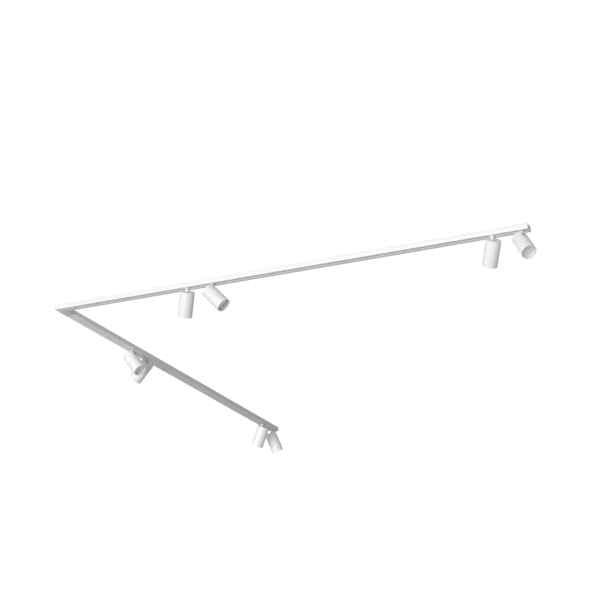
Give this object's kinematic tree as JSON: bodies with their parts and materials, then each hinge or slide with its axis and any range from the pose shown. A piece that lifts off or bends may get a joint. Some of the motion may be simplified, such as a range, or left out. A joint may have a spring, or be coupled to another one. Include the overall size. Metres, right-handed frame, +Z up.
{
  "type": "track lighting fixture",
  "caption": "L-shaped surface-mounted lighting track with cylinder spotlights that slide, swivel and tilt.",
  "frame": {"origin": "where the two arms' centre lines cross, on the ceiling face", "axes": "+X along the first arm, +Y along the second arm, +Z up into the ceiling"},
  "size_m": [2.0861, 2.0616, 0.1389],
  "materials": {
    "track_paint": "satin white powder coat",
    "head_paint": "satin white powder coat",
    "white_plastic": "matte white moulded plastic",
    "liner_plastic": "matte extruded plastic",
    "copper": "bright copper strip",
    "contact_brass": "sprung brass",
    "pin_steel": "turned steel",
    "lamp_body": "satin reflector and frosted lens"
  },
  "bodies": {
    "track": {"rail_1": "track_paint", "rail_2": "track_paint", "liner_1": "liner_plastic", "liner_2": "liner_plastic", "conductors_1": "copper", "conductors_2": "copper", "end_cap_1": "white_plastic", "end_cap_2": "white_plastic", "corner_shell": "white_plastic", "corner_lid": "white_plastic", "contact_carrier": "liner_plastic", "link_contacts": "contact_brass"},
    "carriage_1": {"adapter_1": "white_plastic", "contacts_1": "contact_brass"},
    "swivel_1": {"stem_1": "head_paint"},
    "head_1": {"housing_1": "head_paint", "pivot_pin_1": "pin_steel", "lamp_1": "lamp_body"},
    "carriage_2": {"adapter_2": "white_plastic", "contacts_2": "contact_brass"},
    "swivel_2": {"stem_2": "head_paint"},
    "head_2": {"housing_2": "head_paint", "pivot_pin_2": "pin_steel", "lamp_2": "lamp_body"},
    "carriage_3": {"adapter_3": "white_plastic", "contacts_3": "contact_brass"},
    "swivel_3": {"stem_3": "head_paint"},
    "head_3": {"housing_3": "head_paint", "pivot_pin_3": "pin_steel", "lamp_3": "lamp_body"},
    "carriage_4": {"adapter_4": "white_plastic", "contacts_4": "contact_brass"},
    "swivel_4": {"stem_4": "head_paint"},
    "head_4": {"housing_4": "head_paint", "pivot_pin_4": "pin_steel", "lamp_4": "lamp_body"},
    "carriage_5": {"adapter_5": "white_plastic", "contacts_5": "contact_brass"},
    "swivel_5": {"stem_5": "head_paint"},
    "head_5": {"housing_5": "head_paint", "pivot_pin_5": "pin_steel", "lamp_5": "lamp_body"},
    "carriage_6": {"adapter_6": "white_plastic", "contacts_6": "contact_brass"},
    "swivel_6": {"stem_6": "head_paint"},
    "head_6": {"housing_6": "head_paint", "pivot_pin_6": "pin_steel", "lamp_6": "lamp_body"},
    "carriage_7": {"adapter_7": "white_plastic", "contacts_7": "contact_brass"},
    "swivel_7": {"stem_7": "head_paint"},
    "head_7": {"housing_7": "head_paint", "pivot_pin_7": "pin_steel", "lamp_7": "lamp_body"},
    "carriage_8": {"adapter_8": "white_plastic", "contacts_8": "contact_brass"},
    "swivel_8": {"stem_8": "head_paint"},
    "head_8": {"housing_8": "head_paint", "pivot_pin_8": "pin_steel", "lamp_8": "lamp_body"}
  },
  "joints": [
    {"name": "slide_1", "type": "slide", "parent": "track", "child": "carriage_1", "axis": [1, 0, 0], "range_m": [-0.472, 0.038]},
    {"name": "pan_1", "type": "hinge", "parent": "carriage_1", "child": "swivel_1", "pos_m": [0.5825, 0, -0.02], "axis": [0, 0, 1], "range_deg": [-213, 137]},
    {"name": "tilt_1", "type": "hinge", "parent": "swivel_1", "child": "head_1", "pos_m": [0.5825, 0, -0.0595], "axis": [0.788, 0.6157, 0], "range_deg": [-32, 58]},
    {"name": "slide_2", "type": "slide", "parent": "track", "child": "carriage_2", "axis": [1, 0, 0], "range_m": [-0.038, 1.027]},
    {"name": "pan_2", "type": "hinge", "parent": "carriage_2", "child": "swivel_2", "pos_m": [0.6935, 0, -0.02], "axis": [0, 0, 1], "range_deg": [-88, 262]},
    {"name": "tilt_2", "type": "hinge", "parent": "swivel_2", "child": "head_2", "pos_m": [0.6935, 0, -0.0595], "axis": [0.0523, -0.9986, 0], "range_deg": [-43, 47]},
    {"name": "slide_3", "type": "slide", "parent": "track", "child": "carriage_3", "axis": [1, 0, 0], "range_m": [-1.027, 0.034]},
    {"name": "pan_3", "type": "hinge", "parent": "carriage_3", "child": "swivel_3", "pos_m": [1.8405, 0, -0.02], "axis": [0, 0, 1], "range_deg": [-210, 140]},
    {"name": "tilt_3", "type": "hinge", "parent": "swivel_3", "child": "head_3", "pos_m": [1.8405, 0, -0.0595], "axis": [0.8192, 0.5736, 0], "range_deg": [-40, 50]},
    {"name": "slide_4", "type": "slide", "parent": "track", "child": "carriage_4", "axis": [1, 0, 0], "range_m": [-0.034, 0.003]},
    {"name": "pan_4", "type": "hinge", "parent": "carriage_4", "child": "swivel_4", "pos_m": [1.9505, 0, -0.02], "axis": [0, 0, 1], "range_deg": [-43, 307]},
    {"name": "tilt_4", "type": "hinge", "parent": "swivel_4", "child": "head_4", "pos_m": [1.9505, 0, -0.0595], "axis": [-0.6691, -0.7431, 0], "range_deg": [-39, 51]},
    {"name": "slide_5", "type": "slide", "parent": "track", "child": "carriage_5", "axis": [0, 1, 0], "range_m": [-0.455, 0.05]},
    {"name": "pan_5", "type": "hinge", "parent": "carriage_5", "child": "swivel_5", "pos_m": [0, 0.5655, -0.02], "axis": [0, 0, 1], "range_deg": [-168, 182]},
    {"name": "tilt_5", "type": "hinge", "parent": "swivel_5", "child": "head_5", "pos_m": [0, 0.5655, -0.0595], "axis": [-0.1219, -0.9925, 0], "range_deg": [-39, 51]},
    {"name": "slide_6", "type": "slide", "parent": "track", "child": "carriage_6", "axis": [0, 1, 0], "range_m": [-0.05, 1.091]},
    {"name": "pan_6", "type": "hinge", "parent": "carriage_6", "child": "swivel_6", "pos_m": [0, 0.6785, -0.02], "axis": [0, 0, 1], "range_deg": [-336, 14]},
    {"name": "tilt_6", "type": "hinge", "parent": "swivel_6", "child": "head_6", "pos_m": [0, 0.6785, -0.0595], "axis": [0.3256, 0.9455, 0], "range_deg": [-54, 36]},
    {"name": "slide_7", "type": "slide", "parent": "track", "child": "carriage_7", "axis": [0, 1, 0], "range_m": [-1.091, 0.048]},
    {"name": "pan_7", "type": "hinge", "parent": "carriage_7", "child": "swivel_7", "pos_m": [0, 1.8335, -0.02], "axis": [0, 0, 1], "range_deg": [-332, 18]},
    {"name": "tilt_7", "type": "hinge", "parent": "swivel_7", "child": "head_7", "pos_m": [0, 1.8335, -0.0595], "axis": [0.3907, 0.9205, 0], "range_deg": [-28, 62]},
    {"name": "slide_8", "type": "slide", "parent": "track", "child": "carriage_8", "axis": [0, 1, 0], "range_m": [-0.048, 0.005]},
    {"name": "pan_8", "type": "hinge", "parent": "carriage_8", "child": "swivel_8", "pos_m": [0, 1.9485, -0.02], "axis": [0, 0, 1], "range_deg": [-233, 117]},
    {"name": "tilt_8", "type": "hinge", "parent": "swivel_8", "child": "head_8", "pos_m": [0, 1.9485, -0.0595], "axis": [0.848, -0.5299, 0], "range_deg": [-28, 62]}
  ]
}
